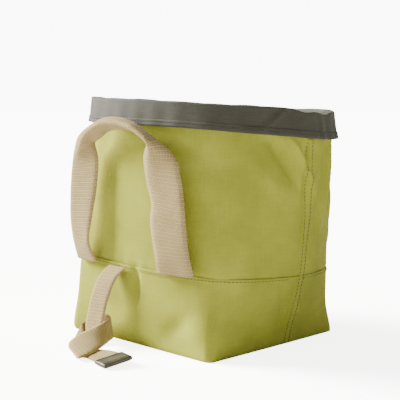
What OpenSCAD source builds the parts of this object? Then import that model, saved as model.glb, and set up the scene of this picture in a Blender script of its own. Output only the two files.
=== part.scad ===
// Soft insulated cooler bag, open, with its lining folded out over the rim as a cuff.
// +Z up, the base centre on the floor at the origin, +X and -X the side seams, -Y the front.

/* [Body] */
// Width of the base between the two side seams, mm
base_w = 186; // [150:1:240]
// Depth of the base, front to back, mm
base_d = 172; // [130:1:220]
// Radius of the upright corners at the floor, mm
corner_r = 8; // [4:1:25]
// Height of the rim above the middle of the base, mm
bag_h = 216; // [180:1:280]
// Width of the oval mouth, mm
mouth_w = 258; // [200:1:300]
// Depth of the oval mouth, mm
mouth_d = 184; // [130:1:240]
// Height of the waist seam above the floor, mm
seam_z = 69; // [50:1:100]
// How far the plan has turned from base rectangle to mouth oval at the waist, share
seam_round = 0.62; // [0.3:0.01:0.9]
// Share of that rounding kept out of the front left corner, which still stands square
corner_keep = 0.45; // [0:0.05:0.8]
// Fall of the rim per millimetre toward +X
droop = 0.042; // [0:0.002:0.12]
// Fall of the rim per millimetre toward the back
sag = 0.035; // [0:0.002:0.1]
// How far the rim has slumped toward +X and toward the back, mm
lean = 2.5; // [0:0.5:10]

/* [Layers] */
// Outer canvas, mm
canvas_t = 1.2; // [0.8:0.1:2]
// Insulating foam in the walls, mm
foam_t = 4.5; // [3:0.5:8]
// Lining cloth, mm
lining_t = 0.8; // [0.4:0.1:1.5]
// Stiff board in the base, mm
board_t = 1.5; // [1:0.1:3]
// Insulating foam in the base, mm
base_foam_t = 6; // [3:0.5:10]
// Height of the folded seam laps above the cloth, mm
lap_t = 0.7; // [0.4:0.1:1.2]
// Height of the turned lap below the waist seam, mm
lap_h = 5; // [3:0.5:10]

/* [Cuff] */
// Height of the folded-out cuff, mm
cuff_h = 21; // [18:1:40]
// Thickness of the doubled cuff cloth, mm
cuff_t = 1.6; // [1:0.1:3]
// Height of the cuff's turned hem, mm
hem_h = 5; // [3:0.5:10]
// How far the hem stands out from the cuff, mm
hem_t = 0.65; // [0.4:0.05:1.2]

/* [Webbing] */
// Thickness of the handle webbing, mm
handle_t = 2.6; // [1.5:0.1:4]
// Width of the closure strap, mm
strap_w = 25; // [20:1:40]
// Thickness of the closure strap, mm
strap_t = 2.2; // [1.5:0.1:3.5]
// Length of the crimped metal tip, mm
tip_l = 18; // [12:1:30]
// Thickness of the tip's sheet metal, mm
tip_wall = 0.7; // [0.5:0.1:1.2]

/* [Hidden] */

gap = 0.3;
slack = 0.15;
per_quarter = 20;
cuff_z = bag_h - cuff_h;
straight_z = cuff_z - 3;
wall_t = canvas_t + foam_t + lining_t;
foam_in = canvas_t + foam_t;
board_z = canvas_t;
foam_z = board_z + board_t;
lining_z = foam_z + base_foam_t;
plate_inset = canvas_t + 0.6;
foam_inset = wall_t + 2.2;
seam_half = 0.022;
ease = 0.8;
tilt_z = 12;

// One quarter of the base rectangle, from the front centre to the side seam.
function rect_q(w, d, r, f) =
  f < 0.45 ? [(w / 2 - r) * f / 0.45, -d / 2]
  : f <= 0.55 ? [w / 2 - r + r * sin((f - 0.45) * 900), r - d / 2 - r * cos((f - 0.45) * 900)]
  : [w / 2, (r - d / 2) * (1 - f) / 0.45];

function oval_q(w, d, f) = [w / 2 * sin(90 * f), -d / 2 * cos(90 * f)];

function blend(h) =
  h < seam_z ? seam_round * h / seam_z
  : h < straight_z ? seam_round + (1 - seam_round) * pow((h - seam_z) / (straight_z - seam_z), ease)
  : 1;

// How much of the slump has built up at this height. The part inside the cuff moves as one.
function slump(h) = pow(max(0, min(h, straight_z) - seam_z) / (straight_z - seam_z), 1.5);

// How much of the fall toward +X, and then toward the back, has built up. The base plates stay level.
function fall_x(h) = pow(max(0, min(h, straight_z) - tilt_z) / (straight_z - tilt_z), 0.65);
function fall_y(h) = min(1, max(0, h - tilt_z) / (seam_z - tilt_z));

// The front left corner stays square for longer on its way up.
function turn(u, h) =
  let (k = max(0, min(1, (straight_z - h) / (straight_z - seam_z))), s = (u < 0 && u > -1) ? sin(180 * -u) : 0)
  blend(h) * (1 - corner_keep * k * s);

function plan(u, h, o) =
  let (q = (floor(u) + 4) % 4, f = u - floor(u), g = q % 2 == 0 ? f : 1 - f, m = turn(u, h))
  let (p = (1 - m) * rect_q(base_w - 2 * o, base_d - 2 * o, max(corner_r - o, 0.5), g)
    + m * oval_q(mouth_w - 2 * o, mouth_d - 2 * o, g))
  [p[0] * (q < 2 ? 1 : -1), p[1] * (q == 0 || q == 3 ? 1 : -1)];

// A point of the wall: u runs round the bag in quarters, h up it, o inward from the canvas.
function wall(u, h, o) =
  let (p = plan(u, h, o), k = lean * slump(h))
  [p[0] + k, p[1] + k, h - droop * fall_x(h) * p[0] - sag * fall_y(h) * p[1]];

function steps(a, b, n) = [for (i = [0:n]) a + (b - a) * i / n];

low_rows = steps(0, seam_z, 4);
high_rows = concat(steps(seam_z, straight_z, 7), [bag_h - cuff_h / 2, bag_h]);

// A curved sheet between two depths in the wall.
module shell(ua, ub, hs, oa, ob) {
  nu = max(2, round((ub - ua) * per_quarter));
  nh = len(hs) - 1;
  us = steps(ua, ub, nu);
  row = nu + 1;
  half = row * (nh + 1);
  pts = [for (o = [oa, ob]) for (h = hs) for (u = us) wall(u, h, o)];
  grid = [for (j = [0:nh - 1]) for (i = [0:nu - 1]) j * row + i];
  outer = [for (g = grid) for (t = [[g, g + row, g + 1], [g + 1, g + row, g + row + 1]]) t];
  inner = [for (g = grid) for (t = [[g, g + 1, g + row], [g + 1, g + row + 1, g + row]])
    [for (v = t) v + half]];
  foot = [for (i = [0:nu - 1]) [i, i + 1, i + 1 + half, i + half]];
  head = [for (i = [0:nu - 1]) let (g = nh * row + i) [g + half, g + half + 1, g + 1, g]];
  first = [for (j = [0:nh - 1]) let (g = j * row) [g + half, g + half + row, g + row, g]];
  last = [for (j = [0:nh - 1]) let (g = j * row + nu) [g, g + row, g + half + row, g + half]];
  polyhedron(pts, concat(outer, inner, foot, head, first, last));
}

// The cuff's hooked section carried round half of the rim.
module hooked(ua, ub, prof) {
  nu = round((ub - ua) * per_quarter);
  n = len(prof);
  pts = [for (u = steps(ua, ub, nu)) for (p = prof) wall(u, p[1], p[0])];
  sides = [for (i = [0:nu - 1]) for (k = [0:n - 1])
    let (a = i * n + k, b = i * n + (k + 1) % n)
    for (t = [[a, b, a + n], [b, b + n, a + n]]) t];
  cap = [[0, 7, 6, 1], [1, 6, 5, 2], [2, 5, 4, 3]];
  tail = [for (c = cap) [for (k = [3:-1:0]) c[k] + nu * n]];
  polyhedron(pts, concat(sides, cap, tail));
}

function cat(p, i, t) =
  let (n = len(p), a = p[max(0, i - 1)], b = p[i], c = p[min(n - 1, i + 1)], d = p[min(n - 1, i + 2)])
  0.5 * (2 * b + (c - a) * t + (2 * a - 5 * b + 4 * c - d) * t * t
    + (3 * b - 3 * c + d - a) * t * t * t);

function smooth_line(p, n) = concat([for (i = [0:len(p) - 2]) for (k = [0:n - 1]) cat(p, i, k / n)],
  [p[len(p) - 1]]);

function unit(v) = v / norm(v);

// A band of cloth across two or more lines of hand-placed points: its edges, and any fold between them.
module band(lines, t, n) {
  g = [for (l = lines) smooth_line(l, n)];
  c = len(g);
  m = len(g[0]);
  out = [for (i = [0:m - 1]) [for (j = [0:c - 1])
    unit(cross(g[min(c - 1, j + 1)][i] - g[max(0, j - 1)][i],
      g[j][min(m - 1, i + 1)] - g[j][max(0, i - 1)])) * t / 2]];
  pts = [for (i = [0:m - 1]) each concat([for (j = [0:c - 1]) g[j][i] - out[i][j]],
    [for (j = [c - 1:-1:0]) g[j][i] + out[i][j]])];
  ring = 2 * c;
  sides = [for (i = [0:m - 2]) for (k = [0:ring - 1])
    let (s = i * ring, e = s + ring, j = (k + 1) % ring)
    for (f = [[s + k, s + j, e + k], [s + j, e + j, e + k]]) f];
  foot = [for (j = [0:c - 2]) [ring - 1 - j, ring - 2 - j, j + 1, j]];
  head = [for (f = foot) [for (k = [3:-1:0]) f[k] + (m - 1) * ring]];
  polyhedron(pts, concat(sides, foot, head));
}

// Height in the wall at which the base plates take their plan, mm
plate_h = 2;

module plate(h, o) {
  linear_extrude(h) polygon([for (i = [0:4 * per_quarter - 1]) plan(i / per_quarter - 1, plate_h, o)]);
}

module bottom_panel() {
  color("darkkhaki") plate(canvas_t, plate_inset);
}

module base_board() {
  color("peru") translate([0, 0, board_z]) plate(board_t, plate_inset + gap);
}

module base_foam() {
  color("whitesmoke") translate([0, 0, foam_z]) plate(base_foam_t, foam_inset);
}

module lining_bottom() {
  color("dimgray") translate([0, 0, lining_z]) plate(lining_t, foam_inset + gap);
}

module base_front_panel() {
  color("yellowgreen") shell(-1, 1, low_rows, 0, canvas_t);
}

module base_back_panel() {
  color("yellowgreen") shell(1, 3, low_rows, 0, canvas_t);
}

module upper_front_panel() {
  color("yellowgreen") shell(-1, 1, high_rows, 0, canvas_t);
}

module upper_back_panel() {
  color("yellowgreen") shell(1, 3, high_rows, 0, canvas_t);
}

module side_seam(at) {
  rows = concat(low_rows, [for (h = high_rows) if (h > seam_z && h < cuff_z) h], [cuff_z - 1.5]);
  color("olivedrab") shell(at - seam_half, at + seam_half, rows, -lap_t, -slack);
}

module side_seam_right() {
  side_seam(1);
}

module side_seam_left() {
  side_seam(3);
}

module waist_seam(ua, ub) {
  color("olivedrab") shell(ua, ub, [seam_z - lap_h, seam_z], -lap_t, -slack);
}

module waist_seam_front() {
  waist_seam(-0.95, 0.95);
}

module waist_seam_back() {
  waist_seam(1.05, 2.95);
}

wall_rows = concat([foam_z], [for (h = low_rows) if (h > foam_z) h], [for (h = high_rows) if (h > seam_z) h]);

module foam_front() {
  color("whitesmoke") shell(-1, 1, wall_rows, canvas_t + slack, foam_in);
}

module foam_back() {
  color("whitesmoke") shell(1, 3, wall_rows, canvas_t + slack, foam_in);
}

module lining_front() {
  color("dimgray") shell(-1, 1, wall_rows, foam_in + slack, wall_t);
}

module lining_back() {
  color("dimgray") shell(1, 3, wall_rows, foam_in + slack, wall_t);
}

cuff_out = -gap - cuff_t;
cuff_in = wall_t + gap;
cuff_top = bag_h + gap;
tuck = 8;
hook = [[cuff_out, cuff_z], [cuff_out, cuff_top + cuff_t], [cuff_in + cuff_t, cuff_top + cuff_t],
  [cuff_in + cuff_t, bag_h - tuck], [cuff_in, bag_h - tuck], [cuff_in, cuff_top],
  [-gap, cuff_top], [-gap, cuff_z]];

module cuff_front() {
  color("darkslategray") hooked(-1, 1, hook);
}

module cuff_back() {
  color("darkslategray") hooked(1, 3, hook);
}

module cuff_hem() {
  color("slategray") {
    shell(-1, 1, [cuff_z + 1, cuff_z + 1 + hem_h], cuff_out - slack - hem_t, cuff_out - slack);
    shell(1, 3, [cuff_z + 1, cuff_z + 1 + hem_h], cuff_out - slack - hem_t, cuff_out - slack);
  }
}

// The standing handle, left leg first: its outer edge, the fold that closes over the grip, and its inner edge.
handle_outer = [[-86, -85, 71], [-84, -92, 90], [-82, -96, 112], [-78, -98, 138], [-75, -98, 160],
  [-72, -98, 175], [-65, -98, 188], [-44, -98, 199], [-24, -98, 204.5], [-4, -98, 204.5], [10, -98, 201.5],
  [20, -98, 198], [37, -98, 189], [57, -97, 178], [67, -97, 169], [70, -97, 158], [72, -96, 146],
  [74, -96, 130], [75, -95, 112], [76, -93, 92], [75, -86, 71]];
handle_fold = [[-80, -88.5, 71], [-77, -95, 90], [-75, -100, 112], [-72, -102, 138], [-68, -103, 161],
  [-57, -106, 175], [-42, -112, 187], [-28, -115, 195], [-11, -116, 200.5], [6, -116, 201], [20, -116, 199],
  [31, -116, 195.5], [46, -115, 187], [46, -110, 179], [41, -106, 171], [38, -103, 161], [37, -101, 149],
  [42, -100, 133], [41, -100, 115], [43, -98, 92], [41, -92, 71]];
handle_inner = [[-49, -91.5, 71], [-50, -100, 90], [-44, -101, 114], [-38, -100, 140], [-36, -99, 164],
  [-38, -99, 174], [-41, -98.5, 182], [-32, -100, 186], [-18, -100, 193], [0, -100, 195], [8, -100, 194],
  [18, -100, 192.5], [35, -101, 182.5], [30, -100, 178], [28, -100, 171], [28, -99, 162], [30, -98, 150],
  [35, -97.5, 132], [34, -98, 115], [37, -96.5, 92], [35, -91.5, 71]];

// The back handle mirrors the front one, lower by the fall of the seam and carried along by the slump.
back_drop = 5;

function mirrored(line) =
  [for (p = line) let (k = lean * slump(p[2])) [p[0] + k, k - p[1], p[2] - back_drop]];

module front_handle() {
  color("burlywood") band([handle_outer, handle_fold, handle_inner], handle_t, 4);
}

module back_handle() {
  lines = [handle_inner, handle_fold, handle_outer];
  color("burlywood") band([for (line = lines) mirrored(line)], handle_t, 4);
}

// The two edges of the closure strap: down from the seam, round itself in a loose knot, out to the tip.
strap_left = [[-31, -92, 70], [-38, -98, 60], [-44, -102, 43], [-49, -103, 26], [-50, -105, 14],
  [-47, -107, 6], [-45, -109, 3], [-52, -105, 6], [-62, -99, 12], [-59, -94, 16],
  [-46, -94.5, 21], [-33, -95.5, 25], [-23, -98.5, 25], [-18, -106, 23], [-20, -118, 19],
  [-24, -134, 13], [-25, -143, 7], [-17, -143, 2.8], [-4, -131, 3.2], [12, -127, 4.8],
  [30.3, -129.5, 6.4], [47.5, -132.5, 6.4]];
strap_right = [[-6, -92.5, 70], [-13, -98, 61], [-19, -102, 44], [-24, -103, 28], [-26, -105, 14],
  [-25, -112, 5], [-30, -124, 2], [-42, -123, 1.5], [-56, -112, 1.5], [-60, -101, 2],
  [-46, -95, 3], [-32, -95, 4], [-19, -98.5, 5], [-12, -106, 6], [0, -124, 6],
  [9, -142, 5], [10, -156, 3.4], [5, -155, 1.6], [3, -152, 1.8], [10, -150.5, 2.2],
  [26, -153.8, 2.8], [43.2, -156.9, 2.8]];

module closure_strap() {
  color("burlywood") band([strap_left, strap_right], strap_t, 4);
}

// Where the tip lies on the floor, and its turn and tilt with the strap, degrees
tip_at = [38, -143.4, 4.6];
tip_turn = [8.3, 0, -10];
tip_w = strap_w + 1.8;
tip_h = strap_t + 2 * tip_wall + 0.6;

module strap_tip() {
  color("dimgray") translate(tip_at) rotate(tip_turn) difference() {
    cube([tip_l, tip_w, tip_h], center = true);
    translate([-tip_wall, 0, 0]) cube([tip_l, tip_w - 1.2, tip_h - 2 * tip_wall], center = true);
  }
}

bottom_panel();
base_board();
base_foam();
lining_bottom();
base_front_panel();
base_back_panel();
upper_front_panel();
upper_back_panel();
side_seam_right();
side_seam_left();
waist_seam_front();
waist_seam_back();
foam_front();
foam_back();
lining_front();
lining_back();
cuff_front();
cuff_back();
cuff_hem();
front_handle();
back_handle();
closure_strap();
strap_tip();
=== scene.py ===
"""Soft insulated cooler bag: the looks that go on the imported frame.

Shapes are worked out in millimetres and turned into metres when a mesh is made.
+Z up, the base centre on the floor at the origin, +X and -X the side seams, -Y the front.
"""
import math

import bpy
import numpy as np
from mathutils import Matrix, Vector, noise


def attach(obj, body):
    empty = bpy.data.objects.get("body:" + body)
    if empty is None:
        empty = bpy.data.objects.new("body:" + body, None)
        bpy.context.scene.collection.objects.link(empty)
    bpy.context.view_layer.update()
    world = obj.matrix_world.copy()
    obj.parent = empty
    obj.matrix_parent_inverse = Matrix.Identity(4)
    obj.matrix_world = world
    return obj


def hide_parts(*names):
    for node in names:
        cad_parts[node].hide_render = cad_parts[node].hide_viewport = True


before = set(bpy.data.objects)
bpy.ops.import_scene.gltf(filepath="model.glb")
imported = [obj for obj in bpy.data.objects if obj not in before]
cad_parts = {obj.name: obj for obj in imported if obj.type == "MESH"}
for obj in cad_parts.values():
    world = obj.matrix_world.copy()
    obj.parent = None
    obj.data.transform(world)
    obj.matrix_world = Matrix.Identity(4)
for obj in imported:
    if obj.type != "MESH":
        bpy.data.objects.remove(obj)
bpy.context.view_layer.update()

MM = 0.001

# ---- driving dimensions, as in the part's own source, mm ----
BASE_W = 186.0
BASE_D = 172.0
CORNER_R = 8.0
BAG_H = 216.0
MOUTH_W = 258.0
MOUTH_D = 184.0
SEAM_Z = 69.0
SEAM_ROUND = 0.62
CORNER_KEEP = 0.45
DROOP = 0.042
SAG = 0.035
TILT_Z = 12.0
LEAN = 2.5
RIM_DIP = 2.2
EASE = 0.8
CANVAS_T = 1.2
FOAM_T = 4.5
LINING_T = 0.8
LAP_T = 0.7
LAP_H = 5.0
CUFF_H = 21.0
CUFF_T = 1.6
HANDLE_T = 2.6
STRAP_W = 25.0
STRAP_T = 2.2
GAP = 0.3
BOARD_T = 1.5
CUFF_Z = BAG_H - CUFF_H
STRAIGHT_Z = CUFF_Z - 3
WALL_T = CANVAS_T + FOAM_T + LINING_T
FOAM_Z = CANVAS_T + BOARD_T


# ---- the bag's wall as a surface ----
def rect_q(w, d, r, f):
    """A quarter of the base rectangle with a rounded corner, f from 0 at the front to 1 at the side."""
    turn = np.clip((f - 0.45) * 10, 0, 1) * math.pi / 2
    x = np.where(f < 0.45, (w / 2 - r) * f / 0.45, w / 2 - r + r * np.sin(turn))
    y = np.where(f > 0.55, (r - d / 2) * (1 - f) / 0.45, r - d / 2 - r * np.cos(turn))
    return x, y


def oval_q(w, d, f):
    """A quarter of the mouth oval, f as above."""
    return w / 2 * np.sin(f * math.pi / 2), -d / 2 * np.cos(f * math.pi / 2)


def turn_share(u, h):
    """How far the plan has gone from base rectangle to mouth oval; the front left stays square longer."""
    up = np.clip((h - SEAM_Z) / (STRAIGHT_Z - SEAM_Z), 0, 1)
    share = np.where(h < SEAM_Z, SEAM_ROUND * h / SEAM_Z, SEAM_ROUND + (1 - SEAM_ROUND) * up ** EASE)
    square = np.where((u < 0) & (u > -1), np.sin(-u * math.pi), 0)
    return share * (1 - CORNER_KEEP * (1 - up) * square)


def plan(u, h, o):
    """x and y of the even wall at turn u (in quarters) and height h, o inward from the canvas."""
    quarter = np.mod(np.floor(u), 4)
    f = u - np.floor(u)
    g = np.where(np.mod(quarter, 2) == 0, f, 1 - f)
    m = turn_share(u, h)
    rx, ry = rect_q(BASE_W - 2 * o, BASE_D - 2 * o, np.maximum(CORNER_R - o, 0.5), g)
    ex, ey = oval_q(MOUTH_W - 2 * o, MOUTH_D - 2 * o, g)
    x = (1 - m) * rx + m * ex
    y = (1 - m) * ry + m * ey
    return x * np.where(quarter < 2, 1, -1), y * np.where((quarter == 0) | (quarter == 3), 1, -1)


def slump(h):
    """How much of the bag's lean has built up at this height. The part inside the cuff moves as one."""
    return (np.maximum(0, np.minimum(h, STRAIGHT_Z) - SEAM_Z) / (STRAIGHT_Z - SEAM_Z)) ** 1.5


def fall_x(h):
    """How much of the fall toward +X has built up. The base plates stay level."""
    return (np.maximum(0, np.minimum(h, STRAIGHT_Z) - TILT_Z) / (STRAIGHT_Z - TILT_Z)) ** 0.65


def fall_y(h):
    """How much of the fall toward the back has built up."""
    return np.clip((h - TILT_Z) / (SEAM_Z - TILT_Z), 0, 1)


def dent(u, h, at, size, slant=0.0):
    """A smooth hollow round one point of the wall: at and size are (turns, mm)."""
    du = (u - at[0]) + slant * (h - at[1])
    return np.exp(-(du / size[0]) ** 2 - ((h - at[1]) / size[1]) ** 2)


def sway(u, h, k, seed):
    """Slow waves that run on smoothly round the bag."""
    a = u * math.pi / 2
    p = np.stack([np.cos(a) * k + seed, np.sin(a) * k, h / 60.0 * k / 1.6], -1)
    flat = p.reshape(-1, 3)
    out = np.array([noise.noise(Vector(q)) for q in flat])
    return out.reshape(p.shape[:-1])


# Folds in the upper walls, then hollows in the base: (turn, height), half-size (turns, mm), lean in turns
# a mm, and how far the cloth stands out, mm, before FOLD_GAIN.
FOLDS = (((0.80, 172), (0.050, 22), 0.0050, -4.2), ((0.90, 178), (0.022, 24), 0.0048, 3.0),
         ((0.70, 160), (0.070, 20), 0.0060, 1.8), ((0.955, 165), (0.018, 40), 0.0004, -2.2),
         ((1.05, 160), (0.035, 45), -0.0006, 1.2), ((1.13, 168), (0.035, 40), -0.0012, -2.8),
         ((1.185, 160), (0.016, 45), -0.0010, 2.4), ((1.27, 150), (0.045, 50), 0.0, -1.6),
         ((0.35, 172), (0.10, 14), 0.004, -1.8), ((0.20, 150), (0.12, 18), 0.003, 1.2),
         ((-0.62, 150), (0.10, 30), 0.002, -2.6), ((-0.25, 178), (0.08, 12), 0.003, -1.4),
         ((2.35, 160), (0.09, 32), -0.002, -2.0), ((1.70, 140), (0.16, 30), 0.003, -1.8),
         ((2.75, 168), (0.04, 30), -0.003, -2.6), ((2.84, 170), (0.025, 34), -0.003, 2.0),
         ((3.12, 165), (0.04, 36), 0.001, -2.4), ((1.45, 172), (0.06, 24), -0.003, -2.2))
BASE_DENTS = (((0.72, 34), (0.14, 16), 0.004, -2.2), ((0.45, 26), (0.10, 18), 0.0, 1.6),
              ((0.015, 54), (0.022, 15), 0.0, -2.6), ((-0.05, 54), (0.04, 15), 0.0, 0.9),
              ((0.27, 24), (0.07, 12), -0.004, -2.2), ((-0.20, 30), (0.16, 12), -0.004, -1.4),
              ((0.95, 40), (0.03, 26), 0.002, -1.2), ((1.06, 40), (0.04, 22), 0.002, 1.0),
              ((1.35, 32), (0.12, 15), 0.0, -1.8), ((2.5, 34), (0.16, 15), 0.003, -1.5),
              ((1.9, 40), (0.2, 18), 0.002, -1.6), ((2.95, 36), (0.05, 24), 0.0, -1.2))

FOLD_GAIN = 1.5


def relief(u, h, fine=True):
    """How far the cloth stands out from the even wall, mm. fine adds the puckers along the waist seam."""
    free = np.clip(h / 12, 0, 1) * np.clip((CUFF_Z + 2 - h) / 22, 0, 1)
    out = 1.6 * sway(u, h, 1.7, 3.0) * free
    upper = np.clip((h - SEAM_Z) / 12, 0, 1) * np.clip((STRAIGHT_Z - h) / 18, 0, 1)
    out += upper * 2.0 * np.sin(np.clip((h - SEAM_Z) / (STRAIGHT_Z - SEAM_Z), 0, 1) * math.pi)
    # the folds fade out inside the cuff, where the wall is even
    near_cuff = np.clip((STRAIGHT_Z + 3 - h) / 7, 0, 1)
    for at, size, slant, depth in FOLDS:
        out += FOLD_GAIN * depth * dent(u, h, at, size, slant) * near_cuff
    for at, size, slant, depth in BASE_DENTS:
        out += FOLD_GAIN * depth * dent(u, h, at, size, slant)
    # the front left corner flares at the floor
    out += 4.5 * dent(u, h, (-0.52, 6), (0.13, 22)) + 1.5 * dent(u, h, (-0.8, 30), (0.3, 40))
    # the lower edge rolls under onto the floor
    out -= 2.6 * np.exp(-h / 2.0)
    # three of the four base corners are soft above the floor
    soft = np.exp(-((np.mod(u, 1) - 0.5) / 0.075) ** 2) * (np.mod(u, 4) < 3)
    out -= 4.5 * soft * np.sin(np.clip(h / SEAM_Z, 0, 1) * math.pi) ** 0.7
    if fine:
        near = np.exp(-np.abs(h - SEAM_Z) / 6.0)
        ripple = np.sin(u * 88 + 2.5 * np.sin(u * 17)) * 0.22
        out += near * ripple * np.clip(np.abs(h - SEAM_Z) / 2, 0, 1)
        out -= 0.8 * np.exp(-((h - SEAM_Z - 0.6) / 1.6) ** 2)
    return out


def wall(u, h, o, swell=None):
    """Points of the wall in space: as plan, with swell mm outward, the slump, and the fall of the rim."""
    u, h, o = np.broadcast_arrays(np.asarray(u, float), np.asarray(h, float), np.asarray(o, float))
    x, y = plan(u, h, o)
    xa, ya = plan(u - 0.02, h, o)
    xb, yb = plan(u + 0.02, h, o)
    nx, ny = yb - ya, xa - xb
    size = np.hypot(nx, ny) + 1e-9
    if swell is not None:
        x = x + nx / size * swell
        y = y + ny / size * swell
    k = slump(h)
    dip = RIM_DIP * np.exp(-((np.mod(u + 1, 4) - 2.08) / 0.28) ** 2)
    z = h - DROOP * fall_x(h) * x - SAG * fall_y(h) * y - k * dip
    return np.stack([x + LEAN * k, y + LEAN * k, z], -1)


def girth(u, h):
    """Length along the wall from u = 0, mm, for weave coordinates."""
    return u * (BASE_W + BASE_D) / 4 * 1.98


# ---- mesh makers ----
def finished(obj, stands_for, body):
    """Hide the CAD node that a piece stands for, if any, and attach the piece to the body that it rides on."""
    if stands_for:
        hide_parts(stands_for)
    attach(obj, body)
    return obj


def make_mesh(name, points, faces, uvs=None, material=None, smooth=True):
    mesh = bpy.data.meshes.new(name)
    mesh.from_pydata((np.asarray(points).reshape(-1, 3) * MM).tolist(), [], faces)
    mesh.update()
    if uvs is not None:
        flat = np.asarray(uvs).reshape(-1, 2)
        layer = mesh.uv_layers.new(name="cloth")
        index = np.empty(len(mesh.loops), dtype=np.int32)
        mesh.loops.foreach_get("vertex_index", index)
        layer.data.foreach_set("uv", flat[index].ravel())
    if smooth:
        mesh.polygons.foreach_set("use_smooth", [True] * len(mesh.polygons))
    obj = bpy.data.objects.new(name, mesh)
    bpy.context.scene.collection.objects.link(obj)
    if material:
        mesh.materials.append(material)
    return obj


def loft(name, rows, uvs, material, shut_u=False, shut_v=False, caps=False):
    """A mesh over a grid of points, rows x columns."""
    nv, nu = rows.shape[:2]
    faces = []
    for j in range(nv if shut_v else nv - 1):
        j2 = (j + 1) % nv
        for i in range(nu if shut_u else nu - 1):
            i2 = (i + 1) % nu
            faces.append((j * nu + i, j * nu + i2, j2 * nu + i2, j2 * nu + i))
    if caps:
        faces.append(tuple(range(nu))[::-1])
        faces.append(tuple((nv - 1) * nu + i for i in range(nu)))
    return make_mesh(name, rows, faces, uvs, material)


def sheet_section(h_low, h_high, o_out, o_in, step):
    """(h, o) round a cloth's section with soft edges: up the outside, over the top and down inside."""
    t = o_in - o_out
    n = max(2, int((h_high - h_low) / step))
    r = min(t / 2, 0.6)
    outer = [(h_low + r + (h_high - h_low - 2 * r) * k / n, o_out) for k in range(n + 1)]
    top = [(h_high - r * 0.3, o_out + r * 0.3), (h_high, o_out + t / 2), (h_high - r * 0.3, o_in - r * 0.3)]
    m = max(2, n // 3)
    inner = [(h_high - r - (h_high - h_low - 2 * r) * k / m, o_in) for k in range(m + 1)]
    foot = [(h_low + r * 0.3, o_in - r * 0.3), (h_low, o_out + t / 2), (h_low + r * 0.3, o_out + r * 0.3)]
    return outer + top + inner + foot


SEAM_LEAN = 0.12
SEAM_AT_RIM = -0.05


def seam_turn(at, hs):
    """The side seams lean: they stand further round the bag at the floor than at the rim."""
    return at + SEAM_AT_RIM + SEAM_LEAN * (1 - hs / BAG_H)


def cloth_wall(name, ua, ub, section, material, columns, swell):
    """A closed sheet of cloth that follows the bag's wall from ua to ub."""
    us = np.linspace(ua, ub, columns)
    h = np.array([p[0] for p in section])
    o = np.array([p[1] for p in section])
    uu, hh = np.meshgrid(us, h, indexing="ij")
    uu = seam_turn(uu, hh)
    oo = np.broadcast_to(o, uu.shape)
    rows = wall(uu, hh, oo, swell(uu, hh))
    along = np.stack([girth(uu, hh), hh + oo * 0.5], -1)
    return loft(name, rows, along, material, shut_u=True, caps=True)


def smooth_line(points, n):
    """Catmull-Rom through given points."""
    p = np.asarray(points, float)
    out = []
    for i in range(len(p) - 1):
        a, b, c, d = p[max(0, i - 1)], p[i], p[i + 1], p[min(len(p) - 1, i + 2)]
        for k in range(n):
            t = k / n
            out.append(0.5 * (2 * b + (c - a) * t + (2 * a - 5 * b + 4 * c - d) * t * t
                              + (3 * b - 3 * c + d - a) * t ** 3))
    out.append(p[-1])
    return np.array(out)


def unit(v):
    """v at length one."""
    return v / (np.linalg.norm(v, axis=-1, keepdims=True) + 1e-12)


def band(name, lines, thick, material, n=10, across=16, round_share=0.25):
    """Webbing across its two edges and the fold between them, if it has one, with rounded selvedges."""
    g = [smooth_line(line, n) for line in lines]
    if len(g) == 2:
        g.insert(1, (g[0] + g[1]) / 2)
    a, k, b = g
    t = np.linspace(-1, 1, across)
    skin = []
    for v in t:
        flange = a if v < 0 else b
        if abs(v) > round_share:
            skin.append(k + (flange - k) * abs(v))
            continue
        w = (v / round_share + 1) / 2
        p, q = k + (a - k) * round_share, k + (b - k) * round_share
        skin.append((1 - w) ** 2 * p + 2 * w * (1 - w) * k + w ** 2 * q)
    skin = np.stack(skin, 1)
    face = unit(np.cross(np.gradient(skin, axis=1), np.gradient(skin, axis=0)))
    soft = np.sqrt(np.clip(1 - np.abs(t) ** 12, 0.02, 1))[None, :, None]
    front = skin + face * soft * thick / 2
    rear = skin - face * soft * thick / 2
    rows = np.concatenate([rear, front[:, ::-1]], axis=1)
    wide = np.concatenate([np.zeros_like(skin[:, :1, 0]),
                           np.cumsum(np.linalg.norm(np.diff(skin, axis=1), axis=2), axis=1)], axis=1)
    mid = skin[:, across // 2]
    long = np.concatenate([[0], np.cumsum(np.linalg.norm(np.diff(mid, axis=0), axis=1))])
    flat = np.stack([wide, np.broadcast_to(long[:, None], wide.shape)], -1)
    uvs = np.concatenate([flat, flat[:, ::-1]], axis=1)
    obj = loft(name, rows, uvs, material, shut_u=True, caps=True)
    return obj, long[-1], wide[:, -1].mean()


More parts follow.
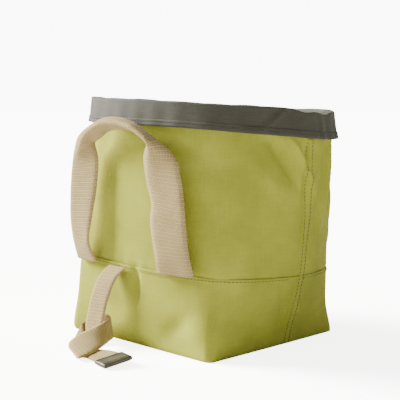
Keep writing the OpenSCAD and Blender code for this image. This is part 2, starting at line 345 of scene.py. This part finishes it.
def stitches(name, path, normal, material, pitch=3.4, share=0.68, r=0.34, sink=0.12):
    """A row of sewn stitches: one small rounded thread per stitch along a path."""
    path = np.asarray(path, float)
    seg = np.linalg.norm(np.diff(path, axis=0), axis=1)
    dist = np.concatenate([[0], np.cumsum(seg)])
    count = int(dist[-1] / pitch)
    points, faces = [], []
    rings = [(-0.5, 0.25), (-0.38, 0.8), (0.0, 1.0), (0.38, 0.8), (0.5, 0.25)]
    sides = 6
    for k in range(count):
        at = (k + 0.5) * pitch
        pos = np.array([np.interp(at, dist, path[:, j]) for j in range(3)])
        nrm = unit(np.array([np.interp(at, dist, normal[:, j]) for j in range(3)]))
        nxt = np.array([np.interp(at + 0.5, dist, path[:, j]) for j in range(3)])
        prv = np.array([np.interp(at - 0.5, dist, path[:, j]) for j in range(3)])
        ahead = unit(nxt - prv)
        cross = np.cross(ahead, nrm)
        base = len(points)
        for t, w in rings:
            centre = pos + ahead * t * pitch * share + nrm * (r * w * 0.9 - sink)
            for q in range(sides):
                ang = 2 * math.pi * q / sides
                points.append(centre + (cross * math.cos(ang) + nrm * math.sin(ang)) * r * w)
        for j in range(len(rings) - 1):
            for q in range(sides):
                q2 = (q + 1) % sides
                faces.append((base + j * sides + q, base + j * sides + q2,
                              base + (j + 1) * sides + q2, base + (j + 1) * sides + q))
        faces.append(tuple(base + q for q in range(sides))[::-1])
        faces.append(tuple(base + (len(rings) - 1) * sides + q for q in range(sides)))
    return make_mesh(name, points, faces, None, material)


# ---- materials ----
class Graph:
    """A short way to write a material's nodes."""

    def __init__(self, name):
        self.mat = bpy.data.materials.new(name)
        self.mat.use_nodes = True
        self.tree = self.mat.node_tree
        self.shader = self.tree.nodes["Principled BSDF"]

    def node(self, kind, **props):
        n = self.tree.nodes.new(kind)
        for key, value in props.items():
            setattr(n, key, value)
        return n

    def link(self, a, b):
        self.tree.links.new(a, b)

    def math(self, op, a, b=None):
        n = self.node("ShaderNodeMath", operation=op)
        for k, v in enumerate((a, b)):
            if v is None:
                continue
            if isinstance(v, (int, float)):
                n.inputs[k].default_value = v
            else:
                self.link(v, n.inputs[k])
        return n.outputs[0]

    def coords(self):
        uv = self.node("ShaderNodeUVMap", uv_map="cloth")
        parts = self.node("ShaderNodeSeparateXYZ")
        self.link(uv.outputs[0], parts.inputs[0])
        return uv.outputs[0], parts.outputs[0], parts.outputs[1]

    def stretch(self, vector, scale):
        m = self.node("ShaderNodeMapping")
        m.inputs["Scale"].default_value = scale
        self.link(vector, m.inputs["Vector"])
        return m.outputs[0]

    def noise(self, vector, scale, detail=3.0, rough=0.55):
        n = self.node("ShaderNodeTexNoise")
        n.inputs["Scale"].default_value = scale
        n.inputs["Detail"].default_value = detail
        n.inputs["Roughness"].default_value = rough
        self.link(vector, n.inputs["Vector"])
        return n.outputs["Fac"]

    def ramp(self, factor, stops):
        r = self.node("ShaderNodeValToRGB")
        el = r.color_ramp.elements
        while len(el) < len(stops):
            el.new(0.5)
        for e, (pos, col) in zip(el, stops):
            e.position = pos
            e.color = (*col, 1)
        self.link(factor, r.inputs[0])
        return r.outputs[0]

    def blend(self, a, b, factor, mode):
        m = self.node("ShaderNodeMix", data_type="RGBA", blend_type=mode)
        m.inputs[0].default_value = factor
        for name, v in (("A", a), ("B", b)):
            self.link(v, [s for s in m.inputs if s.name == name and s.type == "RGBA"][0])
        return [s for s in m.outputs if s.type == "RGBA"][0]

    def bump(self, height, distance, strength=1.0, under=None):
        b = self.node("ShaderNodeBump")
        b.inputs["Distance"].default_value = distance
        b.inputs["Strength"].default_value = strength
        self.link(height, b.inputs["Height"])
        if under is not None:
            self.link(under, b.inputs["Normal"])
        return b.outputs[0]

    def finish(self, colour, normal, rough, sheen=0.0, sheen_rough=0.5, metallic=0.0, specular=0.3):
        s = self.shader.inputs
        self.link(colour, s["Base Color"])
        self.link(normal, s["Normal"])
        if isinstance(rough, (int, float)):
            s["Roughness"].default_value = rough
        else:
            self.link(rough, s["Roughness"])
        s["Sheen Weight"].default_value = sheen
        s["Sheen Roughness"].default_value = sheen_rough
        s["Metallic"].default_value = metallic
        s["Specular IOR Level"].default_value = specular
        return self.mat


def woven(g, u, v, warp, weft):
    """Height of a plain weave with the given thread spacings, mm."""
    a = g.math("SINE", g.math("MULTIPLY", u, math.pi / warp))
    b = g.math("SINE", g.math("MULTIPLY", v, math.pi / weft))
    over = g.math("MULTIPLY", a, b)
    ridge = g.math("ADD", g.math("ABSOLUTE", a), g.math("ABSOLUTE", b))
    return g.math("ADD", g.math("MULTIPLY", over, 0.35), g.math("MULTIPLY", ridge, 0.33))


def canvas_material():
    g = Graph("lime_canvas")
    vec, u, v = g.coords()
    weave = woven(g, u, v, 0.95, 1.05)
    slub_u = g.noise(g.stretch(vec, (0.05, 1.1, 1)), 1.0, 4.0, 0.6)
    slub_v = g.noise(g.stretch(vec, (1.1, 0.05, 1)), 1.0, 4.0, 0.6)
    slub = g.math("ADD", slub_u, slub_v)
    cloud = g.noise(vec, 0.022, 4.0, 0.5)
    base = g.ramp(cloud, [(0.32, (0.455, 0.470, 0.062)), (0.68, (0.600, 0.615, 0.088))])
    threads = g.ramp(g.math("MULTIPLY", slub, 0.5), [(0.38, (0.86, 0.86, 0.78)), (0.62, (1.0, 1.0, 1.0))])
    colour = g.blend(base, threads, 1.0, "MULTIPLY")
    # painted shade: the colour is darkened in the weave's hollows, where shade would fall between the threads
    hollow = g.ramp(weave, [(0.0, (0.70, 0.70, 0.54)), (0.6, (1.0, 1.0, 1.0))])
    colour = g.blend(colour, hollow, 0.8, "MULTIPLY")
    normal = g.bump(weave, 0.00022, 0.75)
    normal = g.bump(slub, 0.00018, 0.6, normal)
    return g.finish(colour, normal, 0.86, sheen=0.03, sheen_rough=0.6, specular=0.08)


def webbing_material():
    g = Graph("ribbed_webbing")
    vec, u, v = g.coords()
    along = g.math("MULTIPLY", v, math.pi / 1.7)
    over = g.math("SINE", g.math("MULTIPLY", u, math.pi / 1.25))
    rib = g.math("ABSOLUTE", g.math("SINE", along))
    cord = g.math("ABSOLUTE", over)
    shift = g.math("SINE", g.math("ADD", along, g.math("MULTIPLY", over, 1.2)))
    height = g.math("ADD", g.math("MULTIPLY", rib, 0.6), g.math("MULTIPLY", cord, 0.35))
    height = g.math("ADD", height, g.math("MULTIPLY", shift, 0.25))
    fuzz = g.noise(vec, 1.6, 5.0, 0.7)
    cloud = g.noise(vec, 0.06, 3.0, 0.5)
    base = g.ramp(cloud, [(0.35, (0.560, 0.410, 0.175)), (0.65, (0.640, 0.480, 0.215))])
    # painted shade and light: the colour is darkened in the grooves between the ribs and brightened on the rib
    # tops
    yarn = g.ramp(height, [(0.1, (0.48, 0.44, 0.36)), (0.75, (1.06, 1.06, 1.06))])
    colour = g.blend(base, yarn, 0.85, "MULTIPLY")
    speck = g.ramp(fuzz, [(0.35, (0.84, 0.84, 0.84)), (0.7, (1.04, 1.04, 1.04))])
    colour = g.blend(colour, speck, 0.7, "MULTIPLY")
    normal = g.bump(height, 0.00045, 0.85)
    normal = g.bump(fuzz, 0.00018, 0.5, normal)
    return g.finish(colour, normal, 0.9, sheen=0.1, sheen_rough=0.6, specular=0.12)


def cloth_material(name, dark, light, warp, weft, sheen, rough):
    """A plain woven cloth between two shades, with its thread spacings in mm."""
    g = Graph(name)
    vec, u, v = g.coords()
    weave = woven(g, u, v, warp, weft)
    cloud = g.noise(vec, 0.03, 4.0, 0.55)
    slub = g.noise(g.stretch(vec, (0.06, 1.2, 1)), 1.0, 4.0, 0.6)
    base = g.ramp(cloud, [(0.3, dark), (0.7, light)])
    yarn = g.ramp(slub, [(0.35, (0.82, 0.82, 0.82)), (0.65, (1.08, 1.08, 1.08))])
    colour = g.blend(base, yarn, 0.8, "MULTIPLY")
    # painted shade: the colour is darkened in the weave's hollows, where shade would fall between the threads
    hollow = g.ramp(weave, [(0.0, (0.75, 0.75, 0.75)), (0.6, (1.0, 1.0, 1.0))])
    colour = g.blend(colour, hollow, 0.7, "MULTIPLY")
    normal = g.bump(weave, 0.00018, 0.7)
    normal = g.bump(slub, 0.00012, 0.5, normal)
    return g.finish(colour, normal, rough, sheen=sheen, sheen_rough=0.5, specular=0.3)


def thread_material(name, colour):
    g = Graph(name)
    vec = g.node("ShaderNodeTexCoord").outputs["Object"]
    twist = g.node("ShaderNodeTexWave", wave_type="BANDS", bands_direction="DIAGONAL")
    twist.inputs["Scale"].default_value = 900
    twist.inputs["Distortion"].default_value = 1.0
    g.link(vec, twist.inputs["Vector"])
    shade = g.ramp(twist.outputs["Fac"], [(0.0, tuple(c * 0.8 for c in colour)), (1.0, colour)])
    normal = g.bump(twist.outputs["Fac"], 0.0001, 0.6)
    return g.finish(shade, normal, 0.7, sheen=0.2, specular=0.3)


def metal_material():
    g = Graph("gunmetal")
    vec = g.node("ShaderNodeTexCoord").outputs["Object"]
    grain = g.noise(vec, 900, 5.0, 0.7)
    cloud = g.noise(vec, 90, 3.0, 0.5)
    colour = g.ramp(cloud, [(0.3, (0.110, 0.105, 0.080)), (0.7, (0.200, 0.190, 0.145))])
    rough = g.math("ADD", g.math("MULTIPLY", grain, 0.3), 0.32)
    normal = g.bump(grain, 0.00012, 0.5)
    return g.finish(colour, normal, rough, metallic=0.75, specular=0.5)


def foam_material():
    g = Graph("foam")
    vec = g.node("ShaderNodeTexCoord").outputs["Object"]
    cells = g.node("ShaderNodeTexVoronoi")
    cells.inputs["Scale"].default_value = 700
    g.link(vec, cells.inputs["Vector"])
    colour = g.ramp(cells.outputs["Distance"], [(0.0, (0.075, 0.076, 0.070)), (0.6, (0.115, 0.116, 0.108))])
    normal = g.bump(cells.outputs["Distance"], 0.0002, 0.6)
    return g.finish(colour, normal, 0.8, specular=0.3)


def board_material():
    g = Graph("base_board")
    vec = g.node("ShaderNodeTexCoord").outputs["Object"]
    grain = g.noise(vec, 420, 5.0, 0.65)
    colour = g.ramp(grain, [(0.3, (0.045, 0.045, 0.045)), (0.7, (0.085, 0.083, 0.080))])
    normal = g.bump(grain, 0.0001, 0.5)
    return g.finish(colour, normal, 0.55, specular=0.4)


CANVAS = canvas_material()
WEBBING = webbing_material()
CUFF_CLOTH = cloth_material("cuff_cloth", (0.072, 0.071, 0.045), (0.098, 0.096, 0.062), 0.6, 0.7, 0.08, 0.75)
LINING = cloth_material("lining_cloth", (0.075, 0.078, 0.060), (0.105, 0.106, 0.082), 0.6, 0.7, 0.15, 0.55)
CUFF_THREAD = thread_material("grey_thread", (0.055, 0.053, 0.04))
SEAM_THREAD = thread_material("olive_thread", (0.13, 0.13, 0.055))
METAL = metal_material()
FOAM = foam_material()
BOARD = board_material()


# ---- body: canvas, foam, lining ----
def under(u, h):
    """Inner layers follow the canvas's folds, a hair closer in. The foam still shows through in spots."""
    return relief(u, h, fine=False) - 0.25


def body_pieces():
    low = sheet_section(0.0, SEAM_Z, 0.0, CANVAS_T, 1.7)
    high = sheet_section(SEAM_Z - 0.4, BAG_H, 0.0, CANVAS_T, 1.7)
    pad = sheet_section(FOAM_Z, BAG_H - 1, CANVAS_T + 0.5, CANVAS_T + FOAM_T - 1.2, 6)
    skin = sheet_section(FOAM_Z, BAG_H - 0.5, CANVAS_T + FOAM_T, WALL_T, 3)[::-1]
    for side, ua, ub in (("front", -1, 1), ("back", 1, 3)):
        base = cloth_wall(f"canvas_base_{side}", ua, ub, low, CANVAS, 220, relief)
        finished(base, f"base_{side}_panel", "bag")
        top = cloth_wall(f"canvas_upper_{side}", ua, ub, high, CANVAS, 220, relief)
        finished(top, f"upper_{side}_panel", "bag")
        foam = cloth_wall(f"foam_wall_{side}", ua, ub, pad, FOAM, 90, under)
        finished(foam, f"foam_{side}", "bag")
        lining = cloth_wall(f"lining_wall_{side}", ua, ub, skin, LINING, 160, under)
        finished(lining, f"lining_{side}", "bag")


body_pieces()


# ---- seam laps and their stitches ----
def below_seam(u, h):
    """The relief under the waist lap, which doesn't follow the groove above it."""
    return relief(u, np.minimum(h, SEAM_Z - 2.5), fine=False)


def waist_lap(side, centre):
    """The turned lap below the waist seam: a folded strip of canvas that lies on the wall."""
    section = sheet_section(SEAM_Z - LAP_H * 0.7, SEAM_Z + 0.4, -LAP_T * 0.8, 0.15, 0.8)
    return cloth_wall(f"waist_lap_{side}", centre - 0.98, centre + 0.98, section, CANVAS, 260, below_seam)


def side_lap(side, at):
    """The felled side seam: a flat fold with its two edges just proud of the cloth."""
    half = 0.026
    hs = np.concatenate([np.linspace(0.3, SEAM_Z, 60), np.linspace(SEAM_Z + 1, CUFF_Z - 1, 100)])
    across = np.linspace(-1, 1, 13)
    proud = LAP_T * np.sqrt(np.clip(1 - np.abs(across) ** 6, 0, 1)) - 0.1
    proud -= 0.28 * (np.exp(-((np.abs(across) - 0.62) / 0.13) ** 2))
    uu = seam_turn(at, hs)[:, None] + across[None, :] * half
    hh = np.broadcast_to(hs[:, None], uu.shape)
    lift = relief(uu, hh)
    face = wall(uu, hh, 0 * uu, lift + proud[None, :])
    back = wall(uu, hh, 0 * uu, lift - 0.15)
    rows = np.concatenate([face, back[:, ::-1]], axis=1)
    cloth_uv = np.stack([girth(uu, hh), hh], -1)
    uvs = np.concatenate([cloth_uv, cloth_uv[:, ::-1]], axis=1)
    return loft(f"side_lap_{side}", rows, uvs, CANVAS, shut_u=True, caps=True)


def side_stitch(side, at, tag, off):
    """One row of stitches down a side seam."""
    hs = np.linspace(2, CUFF_Z - 2, 400)
    us = seam_turn(at, hs) + off
    lift = relief(us, hs) + LAP_T - 0.35
    path = wall(us, hs, 0 * us, lift)
    outward = unit(wall(us, hs, 0 * us, lift + 1) - path)
    return stitches(f"side_stitch_{side}_{tag}", path, outward, SEAM_THREAD)


def waist_stitch(side, centre):
    """One row of stitches round half of the waist seam."""
    us = np.linspace(centre - 0.95, centre + 0.95, 700)
    hs = np.full_like(us, SEAM_Z - 1.8)
    lift = below_seam(us, hs) + LAP_T
    path = wall(us, hs, 0 * us, lift)
    outward = unit(wall(us, hs, 0 * us, lift + 1) - path)
    return stitches(f"waist_stitch_{side}", path, outward, SEAM_THREAD, r=0.26)


WAIST_HALVES = (("front", 0), ("back", 2))
SIDE_SEAMS = (("right", 1), ("left", 3))
for side, centre in WAIST_HALVES:
    finished(waist_lap(side, centre), f"waist_seam_{side}", "bag")
for side, at in SIDE_SEAMS:
    finished(side_lap(side, at), f"side_seam_{side}", "bag")
for side, at in SIDE_SEAMS:
    for tag, off in (("front", -0.017), ("rear", 0.017)):
        finished(side_stitch(side, at, tag, off), None, "bag")
for side, centre in WAIST_HALVES:
    finished(waist_stitch(side, centre), None, "bag")


# ---- base plates ----
PLATE_H = 2.0
PLATE_RINGS = (0.06, 0.3, 0.6, 0.85)


def plate(name, z0, z1, inset, crown, material):
    """A plate that fills the base: rings out to a rounded edge and back, its top crowned a little."""
    us = np.linspace(-1, 3, 160, endpoint=False)
    half = (z1 - z0) / 2
    profile = [(inset, z0, share) for share in PLATE_RINGS]
    for k in range(5):
        a = math.pi * (k / 4 - 0.5)
        profile.append((inset + (1 - math.cos(a)) * half, z0 + half + math.sin(a) * half, 1.0))
    profile += [(inset, z1, share) for share in PLATE_RINGS[::-1]]
    rows = []
    for o, z, share in profile:
        x, y = plan(us, np.full_like(us, PLATE_H), np.full_like(us, o))
        lift = crown * (1 - share ** 2) if z > z0 + half else 0
        rows.append(np.stack([x * share, y * share, np.full_like(x, z + lift)], -1))
    rows = np.array(rows)
    return loft(name, rows, rows[..., :2], material, shut_u=True, caps=True)


floor_cloth = plate("canvas_bottom", 0.05, CANVAS_T, CANVAS_T + 0.6, 0, CANVAS)
finished(floor_cloth, "bottom_panel", "bag")
foam_pad = plate("foam_base", FOAM_Z + 0.1, FOAM_Z + 5.8, WALL_T + 2.2, 0, FOAM)
finished(foam_pad, "base_foam", "bag")
floor_lining = plate("lining_base", FOAM_Z + 6.0, FOAM_Z + 6.8, WALL_T - 0.2, 1.2, LINING)
finished(floor_lining, "lining_bottom", "bag")
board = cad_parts["base_board"]
board.data.materials.clear()
board.data.materials.append(BOARD)


# ---- cuff ----
def cuff_swell(u, h):
    """The cuff hangs a little away from the wall, with soft waves and a few gathers."""
    down = np.clip((BAG_H - h) / CUFF_H, 0, 1)
    out = down * 1.5 + 0.9 * (0.35 + 0.65 * down) * (1 + sway(u, h * 0.4, 2.6, 11.0))
    gather = np.exp(-((np.mod(u + 1, 4) - 2.10) / 0.15) ** 2)
    ridge = np.sin(u * 74 + 1.2 * np.sin(u * 31))
    out += gather * (0.25 + 0.75 * down) * 1.1 * (1 + np.sign(ridge) * np.abs(ridge) ** 0.6)
    out += (0.3 + 0.7 * down) * 0.3 * (1 + np.sin(u * 46 + 3 * np.sin(u * 5)))
    out += 1.3 * dent(u, h, (0.74, BAG_H - 6), (0.02, 9), -0.006)
    out -= 0.9 * dent(u, h, (0.69, BAG_H - 6), (0.03, 9), -0.006)
    return out


# How far the cuff's tucked edge reaches down inside the rim: it still covers the wall's top when raised.
TUCK = 20.6


def cuff_section():
    """(h, o, swell share) round the hooked section of the cuff."""
    top = BAG_H + GAP + CUFF_T
    lip = WALL_T + GAP + CUFF_T
    out = []
    for k in range(13):
        out.append((CUFF_Z + 0.5 + (top - 1.6 - CUFF_Z - 0.5) * k / 12, -GAP - CUFF_T, 1.0))
    for k in range(1, 6):
        a = math.pi / 2 * k / 6
        out.append((top - 1.6 + 1.6 * math.sin(a), -GAP - CUFF_T + 1.6 * (1 - math.cos(a)), 1 - k / 8))
    for k in range(7):
        out.append((top, -GAP + (lip + GAP) * k / 6 * 0.86, 0.0))
    for k in range(1, 4):
        a = math.pi / 2 * k / 3
        out.append((top - 1.4 * (1 - math.cos(a)), lip - 1.2 + 1.2 * math.sin(a), 0.0))
    out += [(BAG_H - 4, lip, 0.0), (BAG_H - TUCK, lip, 0.0), (BAG_H - TUCK - 0.4, lip - 0.8, 0.0)]
    out += [(BAG_H - TUCK, lip - CUFF_T, 0.0), (BAG_H + GAP, lip - CUFF_T, 0.0)]
    out += [(BAG_H + GAP, -GAP, 0.0), (BAG_H - 3, -GAP, 0.3), (CUFF_Z + 8, -GAP, 1.0), (CUFF_Z, -GAP, 1.0)]
    out += [(CUFF_Z - 0.5, -GAP - CUFF_T / 2, 1.0)]
    return out


def cuff_wave(u):
    """The cuff's lower edge isn't quite level."""
    return 0.9 * np.sin(u * 2.9 + 0.6) + 0.5 * np.sin(u * 7.3)


def rim_wave(u):
    """Nor is the rolled rim: it crumples a little over the gathers."""
    crumple = np.exp(-((np.mod(u + 1, 4) - 2.0) / 0.2) ** 2)
    out = 0.35 * np.sin(u * 9.0 + 1.0) + 0.3 * np.sin(u * 21 + 2 * np.sin(u * 6))
    return out + crumple * (0.6 * np.sin(u * 33) - 1.4)


def cuff_piece(name, ua, ub):
    """Half of the cuff: its hooked section carried along the rim."""
    sec = cuff_section()
    us = np.linspace(ua, ub, 420)
    h = np.array([p[0] for p in sec])
    o = np.array([p[1] for p in sec])
    share = np.array([p[2] for p in sec])
    uu, hh = np.meshgrid(us, h, indexing="ij")
    oo = np.broadcast_to(o, uu.shape)
    rows = wall(uu, hh, oo, cuff_swell(uu, hh) * share[None, :])
    down = np.clip((BAG_H - hh) / CUFF_H, 0, 1)
    rows[..., 2] += cuff_wave(uu) * down * (share[None, :] > 0.5)
    rows[..., 2] += rim_wave(uu) * np.clip(1 - down * 1.4, 0, 1)
    arc = np.concatenate([[0], np.cumsum(np.hypot(np.diff(h), np.diff(o)))])
    uvs = np.stack([girth(uu, hh), np.broadcast_to(arc, uu.shape)], -1)
    return loft(name, rows, uvs, CUFF_CLOTH, shut_u=True, caps=True)


def cuff_path(us, h, proud):
    """A level line round the outside of the cuff."""
    p = wall(us, np.full_like(us, h), np.full_like(us, -GAP - CUFF_T),
             cuff_swell(us, np.full_like(us, h)) + proud)
    p[..., 2] += cuff_wave(us) * (BAG_H - h) / CUFF_H
    return p


def hem_piece():
    """The turned hem: a narrow folded strip round the cuff's lower edge."""
    us = np.linspace(-1, 3, 600, endpoint=False)
    profile = [(0.0, -0.2), (-0.5, 0.35), (0.0, 0.85), (1.2, 0.9), (2.6, 0.75),
               (3.4, 0.55), (4.2, 0.75), (5.0, 0.7), (5.6, 0.25), (5.5, -0.2)]
    rows = np.array([cuff_path(us, CUFF_Z + 0.2 + h, p) for h, p in profile])
    uvs = np.array([np.stack([girth(us, us), np.full_like(us, h)], -1) for h, p in profile])
    return loft("cuff_hem_fold", rows, uvs, CUFF_CLOTH, shut_u=True, shut_v=True)


def hem_stitch():
    us = np.linspace(-1, 3, 1500)
    high = CUFF_Z + 3.6
    path = cuff_path(us, high, 0.62)
    outward = unit(cuff_path(us, high, 1.6) - path)
    return stitches("cuff_stitch", path, outward, CUFF_THREAD, r=0.26)


finished(cuff_piece("cuff_cloth_front", -1, 1), "cuff_front", "cuff")
finished(cuff_piece("cuff_cloth_back", 1, 3), "cuff_back", "cuff")
finished(hem_piece(), "cuff_hem", "cuff")
finished(hem_stitch(), None, "cuff")


# ---- handles ----
# The standing handle, left leg first: its outer edge, the fold that closes over the grip, and its inner edge.
HANDLE_OUTER = [
    (-86, -85, 71), (-84, -92, 90), (-82, -96, 112), (-78, -98, 138), (-75, -98, 160), (-72, -98, 175),
    (-65, -98, 188), (-44, -98, 199), (-24, -98, 204.5), (-4, -98, 204.5), (10, -98, 201.5), (20, -98, 198),
    (37, -98, 189), (57, -97, 178), (67, -97, 169), (70, -97, 158), (72, -96, 146), (74, -96, 130),
    (75, -95, 112), (76, -93, 92), (75, -86, 71)]
HANDLE_FOLD = [
    (-80, -88.5, 71), (-77, -95, 90), (-75, -100, 112), (-72, -102, 138), (-68, -103, 161), (-57, -106, 175),
    (-42, -112, 187), (-28, -115, 195), (-11, -116, 200.5), (6, -116, 201), (20, -116, 199), (31, -116, 195.5),
    (46, -115, 187), (46, -110, 179), (41, -106, 171), (38, -103, 161), (37, -101, 149), (42, -100, 133),
    (41, -100, 115), (43, -98, 92), (41, -92, 71)]
HANDLE_INNER = [
    (-49, -91.5, 71), (-50, -100, 90), (-44, -101, 114), (-38, -100, 140), (-36, -99, 164), (-38, -99, 174),
    (-41, -98.5, 182), (-32, -100, 186), (-18, -100, 193), (0, -100, 195), (8, -100, 194), (18, -100, 192.5),
    (35, -101, 182.5), (30, -100, 178), (28, -100, 171), (28, -99, 162), (30, -98, 150), (35, -97.5, 132),
    (34, -98, 115), (37, -96.5, 92), (35, -91.5, 71)]
BACK_DROP = 5.0


def mirrored(line):
    """The same line on the back, lower by the fall of the seam and carried along by the slump."""
    p = np.array(line, float)
    k = LEAN * slump(p[:, 2])
    return np.stack([p[:, 0] + k, k - p[:, 1], p[:, 2] - BACK_DROP], -1)


def handle(side, lines):
    """One webbing loop. The band's length and mean width come back from band but are not used."""
    obj, length, width = band(f"webbing_handle_{side}", lines, HANDLE_T, WEBBING)
    finished(obj, f"{side}_handle", f"{side}_loop")


handle("front", (HANDLE_OUTER, HANDLE_FOLD, HANDLE_INNER))
handle("back", [mirrored(line) for line in (HANDLE_INNER, HANDLE_FOLD, HANDLE_OUTER)])


# ---- closure strap, knotted, with its metal tip ----
STRAP_LEFT = [(-31, -92, 70), (-38, -98, 60), (-44, -102, 43), (-49, -103, 26), (-50, -105, 14),
              (-47, -107, 6), (-45, -109, 3), (-52, -105, 6), (-62, -99, 12), (-59, -94, 16),
              (-46, -94.5, 21), (-33, -95.5, 25), (-23, -98.5, 25), (-18, -106, 23), (-20, -118, 19),
              (-24, -134, 13), (-25, -143, 7), (-17, -143, 2.8), (-4, -131, 3.2), (12, -127, 4.8),
              (30.3, -129.5, 6.4), (47.5, -132.5, 6.4)]
STRAP_RIGHT = [(-6, -92.5, 70), (-13, -98, 61), (-19, -102, 44), (-24, -103, 28), (-26, -105, 14),
               (-25, -112, 5), (-30, -124, 2), (-42, -123, 1.5), (-56, -112, 1.5), (-60, -101, 2),
               (-46, -95, 3), (-32, -95, 4), (-19, -98.5, 5), (-12, -106, 6), (0, -124, 6),
               (9, -142, 5), (10, -156, 3.4), (5, -155, 1.6), (3, -152, 1.8), (10, -150.5, 2.2),
               (26, -153.8, 2.8), (43.2, -156.9, 2.8)]
# Where the tip lies on the floor, its turn about X and then Z in degrees, and its size, mm
TIP_AT = (38, -143.4, 4.6)
TIP_TURN = (8.3, -10)
TIP_SIZE = (18.0, STRAP_W + 1.8, 4.2)


def tip_piece():
    """Folded sheet metal round the strap's end, with rounded edges and a crimp line near each end."""
    length, width, high = TIP_SIZE
    around = 36
    rows = []
    for x in np.linspace(-1, 1, 44):
        end = math.sqrt(max(0.0, 1 - abs(x) ** 14))
        crimp = 0.35 * (math.exp(-((x + 0.62) / 0.07) ** 2) + math.exp(-((x - 0.7) / 0.05) ** 2))
        row = []
        for q in range(around):
            c, s = math.cos(2 * math.pi * q / around), math.sin(2 * math.pi * q / around)
            y = math.copysign(abs(c) ** 0.16, c) * (0.985 + 0.015 * end)
            tooth = 1 - crimp * (0.7 + 0.3 * math.cos(math.copysign(abs(c) ** 0.16, c) * 22))
            z = math.copysign(abs(s) ** 0.42, s) * tooth * max(end, 0.2)
            row.append((x * length / 2, y * width / 2, z * high / 2))
        rows.append(row)
    tilt, yaw = (math.radians(v) for v in TIP_TURN)
    turn_x = np.array([[1, 0, 0], [0, math.cos(tilt), -math.sin(tilt)], [0, math.sin(tilt), math.cos(tilt)]])
    turn_z = np.array([[math.cos(yaw), -math.sin(yaw), 0], [math.sin(yaw), math.cos(yaw), 0], [0, 0, 1]])
    rows = np.array(rows) @ (turn_z @ turn_x).T + np.array(TIP_AT)
    return loft("crimped_tip", rows, None, METAL, shut_u=True, caps=True)


strap, strap_length, strap_width = band(
    "webbing_strap", (STRAP_LEFT, STRAP_RIGHT), STRAP_T, WEBBING, n=8, across=13)
finished(strap, "closure_strap", "strap")
tip = finished(tip_piece(), "strap_tip", "strap")


# ---- camera, floor and light ----
AZIMUTH = math.radians(45.4)
DISTANCE = 0.88
EYE_Z = 0.212
LOOK_AT = Vector((0, 0, 0.125))

cam_data = bpy.data.cameras.new("camera")
cam = bpy.data.objects.new("camera", cam_data)
bpy.context.scene.collection.objects.link(cam)
cam.location = (math.sin(AZIMUTH) * DISTANCE, -math.cos(AZIMUTH) * DISTANCE, EYE_Z)
cam.rotation_euler = (LOOK_AT - cam.location).to_track_quat("-Z", "Y").to_euler()
cam_data.lens = 83.25
cam_data.sensor_width = 36
cam_data.shift_x = -0.0108
cam_data.shift_y = 0.002
bpy.context.scene.camera = cam


FLOOR_SEEN = 2.8
FLOOR_GLOW = 5.0
FLOOR_ALBEDO = 0.8
SKY_SEEN = 10.0
SKY_LIGHT = 0.40
KEY_FROM = Vector((-0.88, -0.34, 0.46))
KEY_STRENGTH = 12.6
KEY_ANGLE = math.radians(26)


def camera_only(tree, seen, unseen):
    """A number for what the camera sees of the studio, and another for the light that it gives."""
    ray = tree.nodes.new("ShaderNodeLightPath")
    pick = tree.nodes.new("ShaderNodeMapRange")
    pick.inputs["To Min"].default_value = unseen
    pick.inputs["To Max"].default_value = seen
    tree.links.new(ray.outputs["Is Camera Ray"], pick.inputs["Value"])
    return pick.outputs[0]


def floor_material():
    """Pale paper: for the camera part of it glows, so that the bag's shadow stays faint on it."""
    mat = bpy.data.materials.new("paper_floor")
    mat.use_nodes = True
    tree = mat.node_tree
    tree.nodes.remove(tree.nodes["Principled BSDF"])
    white = tree.nodes.new("ShaderNodeBsdfDiffuse")
    glow = tree.nodes.new("ShaderNodeEmission")
    both = tree.nodes.new("ShaderNodeAddShader")
    tree.links.new(camera_only(tree, FLOOR_SEEN, FLOOR_ALBEDO), white.inputs["Color"])
    tree.links.new(camera_only(tree, FLOOR_GLOW, 0.0), glow.inputs["Strength"])
    tree.links.new(white.outputs[0], both.inputs[0])
    tree.links.new(glow.outputs[0], both.inputs[1])
    tree.links.new(both.outputs[0], tree.nodes["Material Output"].inputs[0])
    return mat


def studio():
    """A wide pale floor, an even white surround and one large soft key light from the left."""
    size = 60000.0
    pts = [(-size, -size, 0), (size, -size, 0), (size, size, 0), (-size, size, 0)]
    floor = make_mesh("floor", pts, [(0, 1, 2, 3)], None, floor_material(), smooth=False)
    world = bpy.data.worlds.new("studio")
    world.use_nodes = True
    back = world.node_tree.nodes["Background"]
    back.inputs[0].default_value = (1.0, 1.0, 1.0, 1)
    world.node_tree.links.new(camera_only(world.node_tree, SKY_SEEN, SKY_LIGHT), back.inputs[1])
    bpy.context.scene.world = world
    data = bpy.data.lights.new("key", "SUN")
    data.energy = KEY_STRENGTH
    data.angle = KEY_ANGLE
    data.color = (1.0, 0.985, 0.96)
    lamp = bpy.data.objects.new("key", data)
    bpy.context.scene.collection.objects.link(lamp)
    lamp.location = KEY_FROM * 2
    lamp.rotation_euler = (-KEY_FROM).to_track_quat("-Z", "Y").to_euler()


studio()
